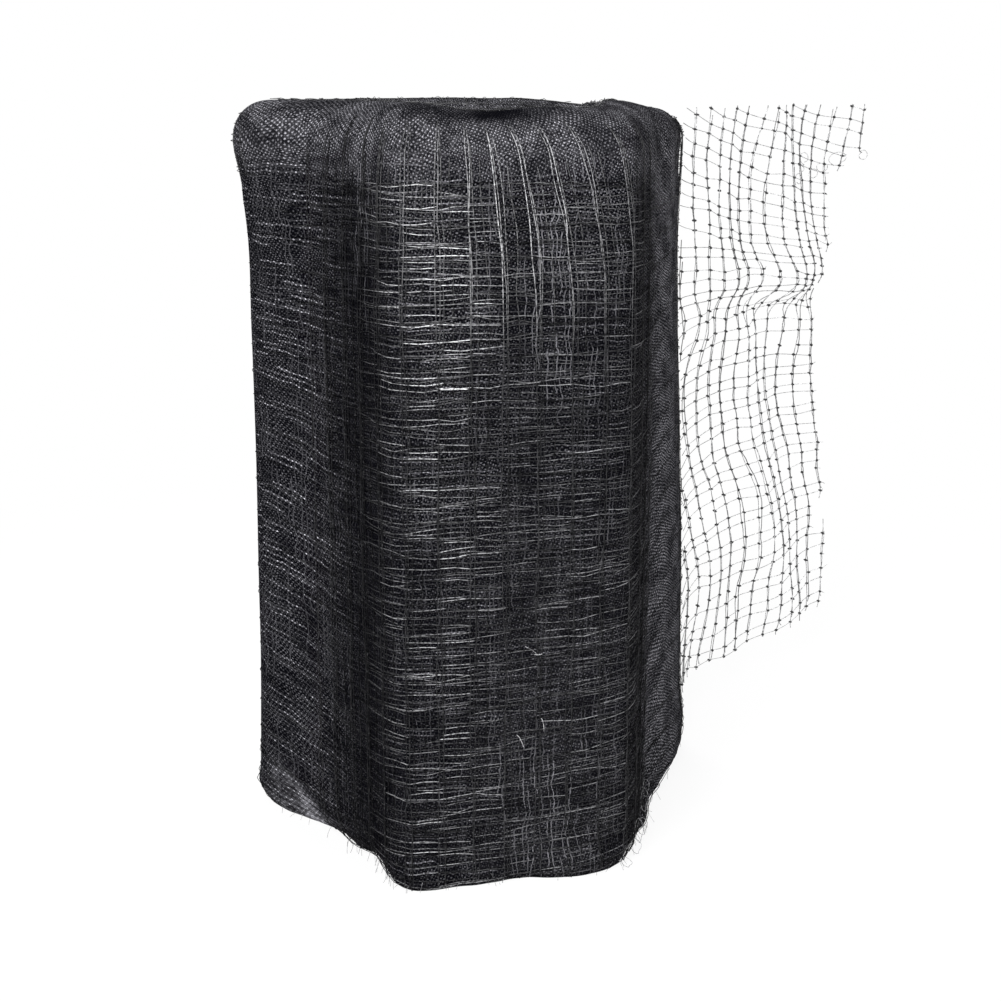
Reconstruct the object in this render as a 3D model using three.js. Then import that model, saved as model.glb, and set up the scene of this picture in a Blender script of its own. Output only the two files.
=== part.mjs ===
// Plastic mesh fencing: a net folded lengthwise and wound into a soft six-sided roll that stands on
// its end, with the net's loose end leaving it at the right rear. Millimetres, +Z up.
import * as THREE from "three";
import { mergeVertices } from "three/addons/utils/BufferGeometryUtils.js";

const rollHeight = 446;
const shoulder = { inward: 30, drop: 28, steps: 5 }; // rounded edge between the wall and the wound end
const wallTop = rollHeight - shoulder.drop;
const edgeSoftness = 20; // higher makes the upright edges between the faces crisper
const aroundCount = 64; // points in each ring of the roll
const windings = { count: 3.5, ridge: 2.4, rings: 15 }; // turns that stand out on the wound end
// The hollow centre: half its length and width, its turn from +X, and its rounded upper lip.
const eye = { x: 14, y: 4, long: 29, short: 23, turn: 20, lip: 12, lipSteps: 3, rings: 5, flare: 5 };
const looseSheet = { thickness: 2, gap: 0.3, columns: 22, rows: 22, rootBearing: 33, drawIn: 0.45 };
const holdLength = 70; // over which the loose end eases from the roll's own shape into its run
const crease = { height: 296, depth: 9, spread: 13, from: 50, full: 110 }; // where it is pinched
const ripple = { depth: 6, length: 88, rise: 270, from: 20, full: 80 }; // its upright folds

// The six flattened faces of the roll, seen from above: the way each one faces, in degrees from +X,
// and how far it lies from the axis.
const faces = [
  { facing: -79, distance: 116 }, // front
  { facing: -13, distance: 115 }, // right
  { facing: 58, distance: 152 }, // right rear
  { facing: 96, distance: 132 }, // rear
  { facing: 153, distance: 128 }, // left rear
  { facing: -145, distance: 104 }, // left front
];
const leftEdge = 174; // bearings of the two edges that swell with height
const rightEdge = 33;

// Girth of the wall from the floor up: a factor on the whole outline, and how much further out the
// left and right edges stand there.
const levels = [
  { height: 0, girth: 0.965, left: 11, right: 3 },
  { height: 5, girth: 0.99, left: 11, right: 9 },
  { height: 20, girth: 1, left: 8, right: 13 },
  { height: 45, girth: 1.003, left: 4, right: 10 },
  { height: 90, girth: 1, left: 2, right: 9 },
  { height: 150, girth: 1, left: 1, right: 7 },
  { height: 230, girth: 1, left: 0, right: 3 },
  { height: 310, girth: 0.998, left: 0, right: 0 },
  { height: 370, girth: 0.995, left: 1, right: 0 },
  { height: 400, girth: 0.995, left: 7, right: 0 },
  { height: wallTop, girth: 0.992, left: 12, right: 0 },
];

// Dips in the wound end, where its turns sit lower.
const dips = [
  { bearing: -84, width: 26, depth: 5 },
  { bearing: 40, width: 40, depth: 3 },
  { bearing: 150, width: 35, depth: 2 },
];

// The loose end's run over the floor from where it leaves the roll, and the heights of its lower and
// upper edges there.
const looseRun = [
  { x: 143, y: 96, lower: 45, upper: 438 },
  { x: 152, y: 130, lower: 39, upper: 438 },
  { x: 168, y: 164, lower: 34, upper: 438 },
  { x: 191, y: 197, lower: 32, upper: 437 },
  { x: 221, y: 228, lower: 36, upper: 437 },
  { x: 256, y: 257, lower: 45, upper: 437 },
  { x: 293, y: 283, lower: 54, upper: 436 },
  { x: 328, y: 306, lower: 58, upper: 436 },
];

// How far along that run its cut edge lies, from its lower corner to its upper one.
const cutEdge = [
  { height: 46, reach: 226 },
  { height: 64, reach: 236 },
  { height: 110, reach: 225 },
  { height: 190, reach: 215 },
  { height: 245, reach: 200 },
  { height: 290, reach: 205 },
  { height: 335, reach: 216 },
  { height: 384, reach: 209 },
  { height: 400, reach: 236 },
  { height: 438, reach: 251 },
];

// Linear reading of a table: the value of one column where another column reaches a given value.
function lookUp(table, key, at, column) {
  const last = table.length - 1;
  const i = THREE.MathUtils.clamp(table.findIndex((row) => row[key] > at), 1, last);
  const upper = at >= table[last][key] ? last : i;
  const a = table[upper - 1];
  const b = table[upper];
  const t = THREE.MathUtils.clamp((at - a[key]) / (b[key] - a[key]), 0, 1);
  return THREE.MathUtils.lerp(a[column], b[column], t);
}

// 1 at a bearing and falling smoothly to 0 at `width` degrees away from it.
function nearBearing(bearing, at, width) {
  const away = Math.abs(((bearing - at + 540) % 360) - 180);
  return away < width ? 0.5 + 0.5 * Math.cos((Math.PI * away) / width) : 0;
}

// Distance from the axis to the flattened outline, the soft meeting of its faces.
function outlineRadius(bearing) {
  let sum = 0;
  for (const { facing, distance } of faces) {
    const toward = Math.cos(THREE.MathUtils.degToRad(bearing - facing));
    if (toward > 0) sum += (toward / distance) ** edgeSoftness;
  }
  return sum ** (-1 / edgeSoftness);
}

function wallRadius(bearing, height) {
  const girth = lookUp(levels, "height", height, "girth");
  const left = lookUp(levels, "height", height, "left") * nearBearing(bearing, leftEdge, 50);
  const right = lookUp(levels, "height", height, "right") * nearBearing(bearing, rightEdge, 50);
  return outlineRadius(bearing) * girth + left + right;
}

function polar(radius, bearing, height, centre = { x: 0, y: 0 }) {
  const angle = THREE.MathUtils.degToRad(bearing);
  return new THREE.Vector3(
    centre.x + radius * Math.cos(angle),
    centre.y + radius * Math.sin(angle),
    height,
  );
}

function rimHeight(bearing) {
  let height = rollHeight;
  for (const dip of dips) height -= dip.depth * nearBearing(bearing, dip.bearing, dip.width);
  return height;
}

// A point on the rounded shoulder: 0 where the wall ends, 1 where the wound end starts.
function shoulderPoint(bearing, part) {
  const angle = (part * Math.PI) / 2;
  const radius = wallRadius(bearing, wallTop) - shoulder.inward * (1 - Math.cos(angle));
  const height = wallTop + (rimHeight(bearing) - wallTop) * Math.sin(angle);
  return polar(radius, bearing, height);
}

function eyeRadius(bearing) {
  const angle = THREE.MathUtils.degToRad(bearing - eye.turn);
  return 1 / Math.hypot(Math.cos(angle) / eye.long, Math.sin(angle) / eye.short);
}

// A point on the wound end: 0 at the shoulder, 1 at the mouth of the hollow centre.
function woundEndPoint(bearing, part) {
  const outer = shoulderPoint(bearing, 1);
  const inner = polar(eyeRadius(bearing) + eye.lip, bearing, rollHeight - eye.lip, eye);
  const point = outer.clone().lerp(inner, part);
  const turn = 2 * Math.PI * (windings.count * part - bearing / 360);
  point.z = THREE.MathUtils.lerp(outer.z, inner.z, part ** 2);
  point.z += windings.ridge * Math.sin(Math.PI * part) * (Math.sin(turn) - 1);
  return point;
}

function ring(pointAt) {
  return Array.from({ length: aroundCount }, (_, i) => pointAt((360 * i) / aroundCount));
}

// The roll's rings in order: up the wall, over the shoulder, across the wound end, and down the
// hollow centre to the floor, where the last ring meets the first.
function rollRings() {
  const rings = levels.map(({ height }) => ring((b) => polar(wallRadius(b, height), b, height)));
  for (let i = 1; i <= shoulder.steps; i++)
    rings.push(ring((b) => shoulderPoint(b, i / shoulder.steps)));
  for (let i = 1; i <= windings.rings; i++)
    rings.push(ring((b) => woundEndPoint(b, i / windings.rings)));
  for (let i = 1; i <= eye.lipSteps; i++) {
    const angle = (i * Math.PI) / 2 / eye.lipSteps;
    const out = eye.lip * (1 - Math.sin(angle));
    const height = rollHeight - eye.lip - eye.lip * (1 - Math.cos(angle));
    rings.push(ring((b) => polar(eyeRadius(b) + out, b, height, eye)));
  }
  const wellTop = rollHeight - 2 * eye.lip;
  for (let i = 1; i <= eye.rings; i++) {
    const height = THREE.MathUtils.lerp(wellTop, 3 * eye.flare, i / eye.rings);
    rings.push(ring((b) => polar(eyeRadius(b), b, height, eye)));
  }
  rings.push(ring((b) => polar(eyeRadius(b) + eye.flare, b, 0, eye)));
  return rings;
}

// Closes a list of closed rings into a skin that also joins the last ring to the first.
function ringsToGeometry(rings) {
  const points = rings.flat();
  const triangles = [];
  for (let r = 0; r < rings.length; r++) {
    const next = (r + 1) % rings.length;
    for (let i = 0; i < aroundCount; i++) {
      const j = (i + 1) % aroundCount;
      const a = r * aroundCount + i;
      const b = r * aroundCount + j;
      const c = next * aroundCount + j;
      const d = next * aroundCount + i;
      triangles.push(a, b, c, a, c, d);
    }
  }
  return new THREE.BufferGeometry().setFromPoints(points).setIndex(triangles);
}

const runCurve = new THREE.CatmullRomCurve3(
  looseRun.map(({ x, y }) => new THREE.Vector3(x, y, 0)),
  false,
  "centripetal",
);
const runLength = runCurve.getLength();

function runHeight(along, column) {
  const place = (along / runLength) * (looseRun.length - 1);
  const i = Math.min(Math.floor(place), looseRun.length - 2);
  return THREE.MathUtils.lerp(looseRun[i][column], looseRun[i + 1][column], place - i);
}

// Where the loose end leaves the roll at a given height, just clear of its wall or shoulder.
function rootPoint(height) {
  const bearing = looseSheet.rootBearing;
  const rise = Math.max(0, height - wallTop) / (rimHeight(bearing) - wallTop);
  const drawnIn = looseSheet.drawIn * shoulder.inward * (1 - Math.sqrt(1 - rise ** 2));
  const radius = wallRadius(bearing, Math.min(height, wallTop)) - drawnIn;
  return polar(radius + looseSheet.thickness / 2 + looseSheet.gap, bearing, height);
}

// How far the loose end stands off its run, in its upright folds and its pinched crease.
function foldDepth(along, height) {
  const settle = THREE.MathUtils.smoothstep(along, ripple.from, ripple.full);
  const wave = Math.sin(2 * Math.PI * (along / ripple.length + height / ripple.rise));
  const pinch = Math.exp(-(((height - crease.height) / crease.spread) ** 2));
  const reach = THREE.MathUtils.smoothstep(along, crease.from, crease.full);
  return settle * ripple.depth * wave - reach * crease.depth * pinch;
}

function loosePoint(across, up) {
  const guess = THREE.MathUtils.lerp(looseRun[0].lower, looseRun[0].upper, up);
  const along = across * lookUp(cutEdge, "height", guess, "reach");
  const height = THREE.MathUtils.lerp(runHeight(along, "lower"), runHeight(along, "upper"), up);
  const part = along / runLength;
  const point = runCurve.getPointAt(part).setZ(height);
  const heading = runCurve.getTangentAt(part);
  const outward = new THREE.Vector3(heading.y, -heading.x, 0);
  point.addScaledVector(outward, foldDepth(along, height));
  const held = 1 - THREE.MathUtils.smoothstep(along, 0, holdLength);
  return point.addScaledVector(rootPoint(height).sub(runCurve.getPointAt(0).setZ(height)), held);
}

// A closed sheet of even thickness on either side of the surface that pointAt(across, up) gives.
function sheetGeometry(pointAt, columns, rows, thickness) {
  const front = [];
  const back = [];
  for (let r = 0; r <= rows; r++) {
    for (let c = 0; c <= columns; c++) {
      const [u, v] = [c / columns, r / rows];
      const [near, far] = [0.5 / columns, 0.5 / rows];
      const across = pointAt(Math.min(u + near, 1), v).sub(pointAt(Math.max(u - near, 0), v));
      const up = pointAt(u, Math.min(v + far, 1)).sub(pointAt(u, Math.max(v - far, 0)));
      const normal = across.cross(up).normalize();
      const middle = pointAt(u, v);
      front.push(middle.clone().addScaledVector(normal, thickness / 2));
      back.push(middle.clone().addScaledVector(normal, -thickness / 2));
    }
  }
  const perRow = columns + 1;
  const behind = front.length;
  const triangles = [];
  const quad = (a, b, c, d) => triangles.push(a, b, c, a, c, d);
  for (let r = 0; r < rows; r++) {
    for (let c = 0; c < columns; c++) {
      const a = r * perRow + c;
      quad(a, a + 1, a + perRow + 1, a + perRow);
      quad(behind + a, behind + a + perRow, behind + a + perRow + 1, behind + a + 1);
    }
  }
  for (let c = 0; c < columns; c++) {
    const top = rows * perRow + c;
    quad(c, behind + c, behind + c + 1, c + 1);
    quad(top, top + 1, behind + top + 1, behind + top);
  }
  for (let r = 0; r < rows; r++) {
    const start = r * perRow;
    const end = start + columns;
    quad(start, start + perRow, behind + start + perRow, behind + start);
    quad(end, behind + end, behind + end + perRow, end + perRow);
  }
  return new THREE.BufferGeometry().setFromPoints([...front, ...back]).setIndex(triangles);
}

function namedMesh(name, geometry, material) {
  const joined = mergeVertices(geometry);
  joined.computeVertexNormals();
  const mesh = new THREE.Mesh(joined, material);
  mesh.name = name;
  return mesh;
}

const netting = new THREE.MeshStandardMaterial({ color: 0x2b2b2e, roughness: 0.5, metalness: 0 });
const looseNetting = new THREE.MeshStandardMaterial({
  color: 0x33333a,
  roughness: 0.5,
  metalness: 0,
  side: THREE.DoubleSide,
});

const { columns, rows, thickness } = looseSheet;
const netRoll = namedMesh("net_roll", ringsToGeometry(rollRings()), netting);
const netTail = namedMesh(
  "net_tail",
  sheetGeometry(loosePoint, columns, rows, thickness),
  looseNetting,
);

// The origin is the middle of the whole part's footprint, on the floor.
const fencing = new THREE.Group();
fencing.add(netRoll, netTail);
const extent = new THREE.Box3().setFromObject(fencing);
const middle = extent.getCenter(new THREE.Vector3());
fencing.position.set(-middle.x, -middle.y, -extent.min.z);

export default fencing;
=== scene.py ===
import math

import bpy
import numpy as np
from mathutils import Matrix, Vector


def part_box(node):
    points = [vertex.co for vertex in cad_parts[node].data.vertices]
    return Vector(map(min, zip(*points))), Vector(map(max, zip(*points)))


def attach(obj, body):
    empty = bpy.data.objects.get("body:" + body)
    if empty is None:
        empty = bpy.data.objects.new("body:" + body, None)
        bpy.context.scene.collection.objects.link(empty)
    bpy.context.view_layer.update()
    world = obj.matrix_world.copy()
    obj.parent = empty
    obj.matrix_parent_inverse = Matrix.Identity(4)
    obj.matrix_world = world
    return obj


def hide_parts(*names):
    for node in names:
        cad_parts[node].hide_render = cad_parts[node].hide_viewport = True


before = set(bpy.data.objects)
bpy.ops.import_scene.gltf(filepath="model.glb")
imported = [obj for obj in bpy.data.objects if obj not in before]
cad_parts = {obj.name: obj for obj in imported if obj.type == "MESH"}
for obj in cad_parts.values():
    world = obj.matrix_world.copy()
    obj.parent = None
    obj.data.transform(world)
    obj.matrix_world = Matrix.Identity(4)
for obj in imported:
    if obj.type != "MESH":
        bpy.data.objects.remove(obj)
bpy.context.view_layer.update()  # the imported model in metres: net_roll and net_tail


# small readings shared by the pieces

def readTable(rows, column, at):
    # smooth reading of a table's column against its first column
    xs = np.array([row[0] for row in rows], float)
    ys = np.array([row[column] for row in rows], float)
    slopes = np.gradient(ys, xs)
    at = np.clip(np.asarray(at, float), xs[0], xs[-1])
    i = np.clip(np.searchsorted(xs, at, side="right") - 1, 0, len(xs) - 2)
    gap = xs[i + 1] - xs[i]
    t = (at - xs[i]) / gap
    return (
        ys[i] * (2 * t**3 - 3 * t**2 + 1)
        + ys[i + 1] * (3 * t**2 - 2 * t**3)
        + slopes[i] * gap * (t**3 - 2 * t**2 + t)
        + slopes[i + 1] * gap * (t**3 - t**2)
    )


def smoothStep(x, low, high):
    t = np.clip((np.asarray(x, float) - low) / (high - low), 0, 1)
    return t * t * (3 - 2 * t)


def nearBearing(bearing, at, width):
    # 1 at a bearing, falling smoothly to 0 at width degrees from it
    away = np.abs((np.asarray(bearing, float) - at + 540) % 360 - 180)
    return 0.5 + 0.5 * np.cos(np.pi * np.clip(away / width, 0, 1))


def uneven(seed, *coords):
    # smooth unevenness between about -1 and 1, the same on every run
    draw = np.random.default_rng(seed)
    total = 0
    for octave in (1.0, 1.9, 3.7):
        angle = draw.uniform(0, 2 * np.pi)
        for c in coords:
            angle = angle + np.asarray(c, float) * octave * draw.choice([-1, 1]) * draw.uniform(0.7, 1.3)
        total = total + np.sin(angle) / octave
    return total / 1.5


# the wound form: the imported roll's sizes, with its edges and foot a few millimetres looser

rollForm = {
    "packedLeft": 0.1430,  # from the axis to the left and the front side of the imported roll
    "packedFront": 0.1233,
    "height": 0.446,
    "shoulderIn": 0.030,
    "shoulderDrop": 0.028,
    "overShoulder": 0.0456,  # travel along the net over the rounded shoulder,
    "acrossEnd": 0.070,  # on across the wound end to the lip of the hollow,
    "overLip": 0.019,  # and over the lip
    "softness": 20,
    "faces": [  # facing in degrees from +X, distance from the axis
        (-79, 0.116), (-13, 0.115), (58, 0.152), (96, 0.132), (153, 0.128), (-145, 0.104),
    ],
    "leftEdge": 174,
    "rightEdge": 33,
    "edgeWidth": 50,
    "levels": [  # height, girth, how far the left and the right edge stand out
        (0.000, 0.965, 0.011, 0.005),
        (0.005, 0.990, 0.011, 0.011),
        (0.020, 1.000, 0.009, 0.015),
        (0.045, 1.003, 0.007, 0.012),
        (0.090, 1.000, 0.0057, 0.011),
        (0.150, 1.000, 0.005, 0.0095),
        (0.230, 1.000, 0.0037, 0.0055),
        (0.310, 0.998, 0.004, 0.0015),
        (0.370, 0.995, 0.005, 0.0005),
        (0.400, 0.995, 0.0087, 0.002),
        (0.418, 0.992, 0.0130, 0.0035),
    ],
    "dips": [  # of the rim: bearing, width, depth
        (-82, 31, 0.005), (-48, 26, 0.0035), (50, 30, 0.0035), (28, 34, 0.0045),
    ],
    "foot": [  # bearing, width, how far the net spreads on the ground or is tucked in there
        (-103, 13, 0.009), (-123, 12, -0.008), (-150, 30, -0.008), (-60, 22, 0.008), (-88, 18, 0.008),
        (-16, 15, 0.007), (95, 30, 0.003),
    ],
    "footHeight": 0.028,
    "eye": {"x": 0.014, "y": 0.004, "long": 0.029, "short": 0.023, "turn": 20, "lip": 0.012},
    "windings": 3.5,
    "ridge": 0.0024,
    "pleat": 0.0007,  # soft upright pleats in the wall
    "pleatWaves": [(11, 9, 4, 1.0), (12, 23, 7, 0.6)],  # seed, how fine around and along, share
    "square": [(174, 34, 0.26), (33, 30, 0.18)],  # where the shoulder is less rounded
    "sweep": [  # bearing, width, climb of the rows there, full up to and gone above these heights
        (180, 58, 0.010, 0.24, 0.37), (8, 60, 0.020, 0.20, 0.40), (-30, 60, 0.009, 0.05, 0.26),
    ],
}
eye = rollForm["eye"]
wallTop = rollForm["height"] - rollForm["shoulderDrop"]
shoulderTop = wallTop + rollForm["overShoulder"]
endInside = shoulderTop + rollForm["acrossEnd"]
lipInside = endInside + rollForm["overLip"]


def outlineRadius(bearing):
    total = np.zeros_like(np.asarray(bearing, float))
    for facing, distance in rollForm["faces"]:
        toward = np.cos(np.radians(bearing - facing))
        total += (np.clip(toward, 0, 1) / distance) ** rollForm["softness"]
    return total ** (-1 / rollForm["softness"])


def wallRadius(bearing, height):
    levels, width = rollForm["levels"], rollForm["edgeWidth"]
    left = readTable(levels, 2, height) * nearBearing(bearing, rollForm["leftEdge"], width)
    right = readTable(levels, 3, height) * nearBearing(bearing, rollForm["rightEdge"], width)
    near = np.clip(1 - np.asarray(height, float) / rollForm["footHeight"], 0, 1) ** 2
    foot = sum(reach * nearBearing(bearing, at, wide) for at, wide, reach in rollForm["foot"]) * near
    return outlineRadius(bearing) * readTable(levels, 1, height) + left + right + foot


def rimHeight(bearing):
    height = np.full_like(np.asarray(bearing, float), rollForm["height"])
    for at, width, depth in rollForm["dips"]:
        height = height - depth * nearBearing(bearing, at, width)
    return height


def eyeRadius(bearing):
    angle = np.radians(np.asarray(bearing, float) - eye["turn"])
    return 1 / np.hypot(np.cos(angle) / eye["long"], np.sin(angle) / eye["short"])


# the winding's axis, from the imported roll's own box
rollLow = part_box("net_roll")[0]
axisX = rollLow.x + rollForm["packedLeft"]
axisY = rollLow.y + rollForm["packedFront"]

# lengths of net round the roll, a reading for each quarter of a degree
ringBearings = np.linspace(-180, 180, 4 * 360 + 1)[:-1]
ringAngles = np.radians(ringBearings)
ringXY = outlineRadius(ringBearings)[:, None] * np.stack([np.cos(ringAngles), np.sin(ringAngles)], 1)
ringLength = np.concatenate([[0], np.cumsum(np.linalg.norm(np.roll(ringXY, -1, 0) - ringXY, axis=1))])
girth = ringLength[-1]
print("axis of the roll", round(axisX, 4), round(axisY, 4), "girth", round(girth, 3))


def bearingAt(length):
    rounds = np.floor(np.asarray(length, float) / girth)
    return np.interp(length - rounds * girth, ringLength, np.append(ringBearings, 180.0)) + 360 * rounds


def pleats(bearing, travel):
    # soft upright folds of the wall, fading out over the shoulder
    angle = np.radians(bearing)
    wave = sum(
        share * uneven(seed, angle * around, travel * along)
        for seed, around, along, share in rollForm["pleatWaves"]
    )
    return rollForm["pleat"] * wave * (1 - smoothStep(travel, wallTop, shoulderTop))


def sweepOf(bearing, travel):
    # how far the rows of the net climb toward the two sides of the roll
    total = np.zeros(np.broadcast(bearing, travel).shape)
    for at, width, climb, low, high in rollForm["sweep"]:
        total = total + climb * nearBearing(bearing, at, width) * (1 - smoothStep(travel, low, high))
    return total


def rollSkin(bearing, travel, depth):
    # a point of the winding: travel runs up the wall, over the shoulder, across the wound end and
    # down into the hollow, and depth goes into the roll
    bearing, travel, depth = np.broadcast_arrays(
        np.asarray(bearing, float), np.asarray(travel, float), np.asarray(depth, float)
    )
    depth = depth - pleats(bearing, travel)
    c, s = np.cos(np.radians(bearing)), np.sin(np.radians(bearing))
    rim = rimHeight(bearing)

    height = np.clip(travel, 0, wallTop)
    radius = wallRadius(bearing, height) - depth
    wall = np.stack([radius * c, radius * s, height], -1)

    turn = np.clip((travel - wallTop) / (shoulderTop - wallTop), 0, 1) * np.pi / 2
    rimRadius = wallRadius(bearing, wallTop)
    square = 1 - sum(share * nearBearing(bearing, at, width) for at, width, share in rollForm["square"])
    outward, upward = np.cos(turn) ** square, np.sin(turn) ** square
    radius = rimRadius - rollForm["shoulderIn"] * (1 - outward) - depth * np.cos(turn)
    height = wallTop + (rim - wallTop) * upward - depth * np.sin(turn)
    shoulder = np.stack([radius * c, radius * s, height], -1)

    part = np.clip((travel - shoulderTop) / (endInside - shoulderTop), 0, 1)
    outer = rimRadius - rollForm["shoulderIn"]
    inner = eyeRadius(bearing) + eye["lip"]
    spiral = 2 * np.pi * (rollForm["windings"] * part - bearing / 360)
    height = rim + (rollForm["height"] - eye["lip"] - rim) * part**2 - depth
    height = height + rollForm["ridge"] * np.sin(np.pi * part) * (np.sin(spiral) - 1)
    across = outer * c * (1 - part) + (eye["x"] + inner * c) * part
    along = outer * s * (1 - part) + (eye["y"] + inner * s) * part
    end = np.stack([across, along, height], -1)

    turn = np.clip((travel - endInside) / (lipInside - endInside), 0, 1) * np.pi / 2
    radius = eyeRadius(bearing) + eye["lip"] * (1 - np.sin(turn)) + depth * np.sin(turn)
    height = rollForm["height"] - eye["lip"] * (2 - np.cos(turn)) - depth * np.cos(turn)
    height = height - np.clip(travel - lipInside, 0, None)
    hollow = np.stack([eye["x"] + radius * c, eye["y"] + radius * s, height], -1)

    t = travel[..., None]
    point = np.where(t <= wallTop, wall, shoulder)
    point = np.where(t > shoulderTop, end, point)
    point = np.where(t > endInside, hollow, point)
    return point + np.array([axisX, axisY, 0])


# shader groups and materials

def addNode(tree, kind, inputs=None, **settings):
    # a node with its settings, and its inputs given as values or as another node's output
    node = tree.nodes.new(kind)
    for name, value in settings.items():
        setattr(node, name, value)
    for name, value in (inputs or {}).items():
        if isinstance(value, bpy.types.NodeSocket):
            tree.links.new(value, node.inputs[name])
        else:
            node.inputs[name].default_value = value
    return node


def newGroup(name, kind, inputs, output):
    # a node group with its named sockets, the readings of its inputs, and its one output
    group = bpy.data.node_groups.new(name, kind)
    for way, sockets in (("INPUT", inputs), ("OUTPUT", [output])):
        for label, holds, *value in sockets:
            socket = group.interface.new_socket(label, in_out=way, socket_type="NodeSocket" + holds)
            if value:
                socket.default_value = value[0]
    source = group.nodes.new("NodeGroupInput").outputs
    return group, source, group.nodes.new("NodeGroupOutput").inputs[0]


def nodeMath(tree, operation, *values, clamp=False):
    node = addNode(tree, "ShaderNodeMath", dict(enumerate(values)), operation=operation, use_clamp=clamp)
    return node.outputs[0]


def nodeVector(tree, operation, *values):
    return addNode(tree, "ShaderNodeVectorMath", dict(enumerate(values)), operation=operation).outputs[0]


def nodeCentred(tree, colour):
    # a noise colour as a push to either side
    return nodeVector(tree, "SUBTRACT", colour, (0.5, 0.5, 0.5))


def nodeRange(tree, value, low, high, toLow=0.0, toHigh=1.0):
    reach = {"Value": value, "From Min": low, "From Max": high, "To Min": toLow, "To Max": toHigh}
    return addNode(tree, "ShaderNodeMapRange", reach, interpolation_type="SMOOTHSTEP").outputs["Result"]


def nodeNoise(tree, vector, scale, detail=2.0):
    reach = {"Vector": vector, "Scale": scale, "Detail": detail}
    return addNode(tree, "ShaderNodeTexNoise", reach).outputs["Fac"]


def nodeAttribute(tree, name):
    return addNode(tree, "ShaderNodeAttribute", attribute_name=name).outputs["Fac"]


def nodeTurned(tree, source):
    # the group's map, turned by the group's own angle
    reach = {"Vector": source["Map"], "Angle": source["Turn"]}
    return addNode(tree, "ShaderNodeVectorRotate", reach, rotation_type="Z_AXIS").outputs["Vector"]


crossingForm = {
    "driftScale": 38.0,
    "drift": 0.008,  # how far the net drifts out of line, in metres
    "scatter": 0.28,
    "heart": 0.35,  # the share of a crossing that is fully pale
    "faintest": 0.35,
}


def makeCrossings():
    # small pale crossings and short thread ends of the turns that lie below, on a map in metres
    form = crossingForm
    group, source, result = newGroup("buriedCrossings", "ShaderNodeTree", [
        ("Map", "Vector"), ("Pitch", "Float", 0.002), ("Spread", "Float", 0.34), ("Turn", "Float", 0.0),
    ], ("Pale", "Float"))
    noise = addNode(group, "ShaderNodeTexNoise", {"Vector": source["Map"], "Scale": form["driftScale"]})
    drift = (form["drift"], form["drift"], 0.0)
    bent = nodeCentred(group, noise.outputs["Color"])
    bent = nodeVector(group, "MULTIPLY_ADD", bent, drift, nodeTurned(group, source))
    density = nodeMath(group, "DIVIDE", 1.0, source["Pitch"])
    crossing = addNode(group, "ShaderNodeTexVoronoi", {
        "Vector": bent, "Scale": density, "Randomness": form["scatter"],
    }, voronoi_dimensions="2D")
    heart = nodeMath(group, "MULTIPLY", source["Spread"], form["heart"])
    dot = nodeRange(group, crossing.outputs["Distance"], heart, source["Spread"], 1.0, 0.0)
    some = addNode(group, "ShaderNodeSeparateColor", {"Color": crossing.outputs["Color"]})
    strength = nodeRange(group, some.outputs[0], 0.0, 1.0, form["faintest"], 1.0)
    group.links.new(nodeMath(group, "MULTIPLY", dot, strength), result)
    return group


threadForm = {
    "driftScale": 60.0,
    "driftDetail": 3.0,
    "edge": (0.25, 0.75),  # a thread fades out from here to here, in its own thickness
    "end": (0.43, 0.49),  # and near the ends of its cell, from the cell's middle
    "past": 0.1,  # how pale it is past its end
    "hidden": 0.30,  # the share of the threads that don't show
}


def makeThreads():
    # buried threads: thin lines across the map, paler or darker from one cell of the net to the next
    form = threadForm
    group, source, result = newGroup("buriedThreads", "ShaderNodeTree", [
        ("Map", "Vector"), ("Turn", "Float", 0.0), ("Gap", "Float", 0.002), ("Cell", "Float", 0.0187),
        ("Thick", "Float", 0.0006), ("Wobble", "Float", 0.003), ("Stagger", "Float", 0.0),
    ], ("Pale", "Float"))

    def fromMiddle(value):
        return nodeMath(group, "ABSOLUTE", nodeMath(group, "SUBTRACT", nodeMath(group, "FRACT", value), 0.5))

    parts = addNode(group, "ShaderNodeSeparateXYZ", {"Vector": nodeTurned(group, source)}).outputs
    drift = nodeNoise(group, source["Map"], form["driftScale"], form["driftDetail"])
    drift = nodeMath(group, "SUBTRACT", drift, 0.5)
    level = nodeMath(group, "MULTIPLY_ADD", drift, source["Wobble"], parts["Y"])
    row = nodeMath(group, "DIVIDE", level, source["Gap"])
    away = nodeMath(group, "MULTIPLY", fromMiddle(row), source["Gap"])
    away = nodeMath(group, "DIVIDE", away, source["Thick"])
    line = nodeRange(group, away, *form["edge"], 1.0, 0.0)
    rowNumber = nodeMath(group, "FLOOR", row)
    start = addNode(group, "ShaderNodeTexWhiteNoise", {"W": rowNumber}, noise_dimensions="1D")
    cell = nodeMath(group, "DIVIDE", parts["X"], source["Cell"])
    cell = nodeMath(group, "MULTIPLY_ADD", start.outputs["Value"], source["Stagger"], cell)
    within = nodeRange(group, fromMiddle(cell), *form["end"], 1.0, form["past"])
    place = {"X": nodeMath(group, "FLOOR", cell), "Y": rowNumber}
    place = addNode(group, "ShaderNodeCombineXYZ", place).outputs["Vector"]
    pick = addNode(group, "ShaderNodeTexWhiteNoise", {"Vector": place}, noise_dimensions="2D")
    strength = nodeRange(group, pick.outputs["Value"], form["hidden"], 1.0)
    pale = nodeMath(group, "MULTIPLY", line, nodeMath(group, "MULTIPLY", within, strength))
    group.links.new(pale, result)
    return group


crossings = makeCrossings()
threads = makeThreads()


def newMaterial(name, roughness, specular):
    material = bpy.data.materials.new(name)
    material.use_nodes = True
    shader = material.node_tree.nodes["Principled BSDF"]
    shader.inputs["Roughness"].default_value = roughness
    shader.inputs["Specular IOR Level"].default_value = specular
    return material, material.node_tree, shader


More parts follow.
